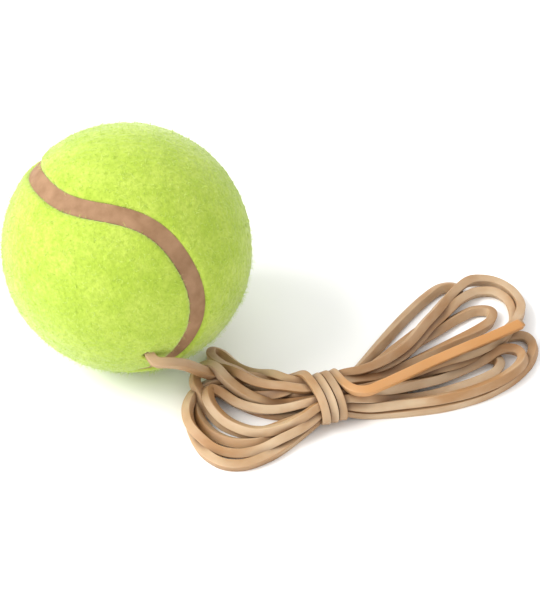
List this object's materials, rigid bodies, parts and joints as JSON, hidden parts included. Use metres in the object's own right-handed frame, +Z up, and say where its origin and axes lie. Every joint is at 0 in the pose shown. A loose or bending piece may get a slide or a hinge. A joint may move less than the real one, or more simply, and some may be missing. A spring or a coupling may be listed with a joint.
{
  "type": "ball on elastic cord",
  "caption": "Felt-covered hollow rubber ball on a long square latex cord, knotted inside the ball and tied up in a hank beside it.",
  "frame": {"origin": "the point on which the ball rests, directly below the ball's centre", "axes": "+Z up; +X from the ball towards the far end of the cord's hank; -Y is the side on which the cord leaves the ball"},
  "size_m": [0.145, 0.0837, 0.066],
  "materials": {
    "felt": "napped felt, optic yellow",
    "seam_rubber": "matt tan rubber",
    "core_rubber": "matt dark rubber",
    "cement": "matt",
    "latex": "matt natural latex, cut edges"
  },
  "bodies": {
    "cord": {"cord_knot": "latex", "cord_lead": "latex", "cord_hank": "latex", "cord_wraps": "latex"},
    "ball": {"core_half_upper": "core_rubber", "core_half_lower": "core_rubber", "core_joint_cement": "cement", "felt_panel_a": "felt", "felt_panel_b": "felt", "seam_cement": "seam_rubber"}
  },
  "joints": [
    {"name": "ball_swivel", "type": "hinge", "parent": "cord", "child": "ball", "pos_m": [0, 0, 0.033], "axis": [0.1901, -0.9357, -0.2972], "continuous": true}
  ]
}
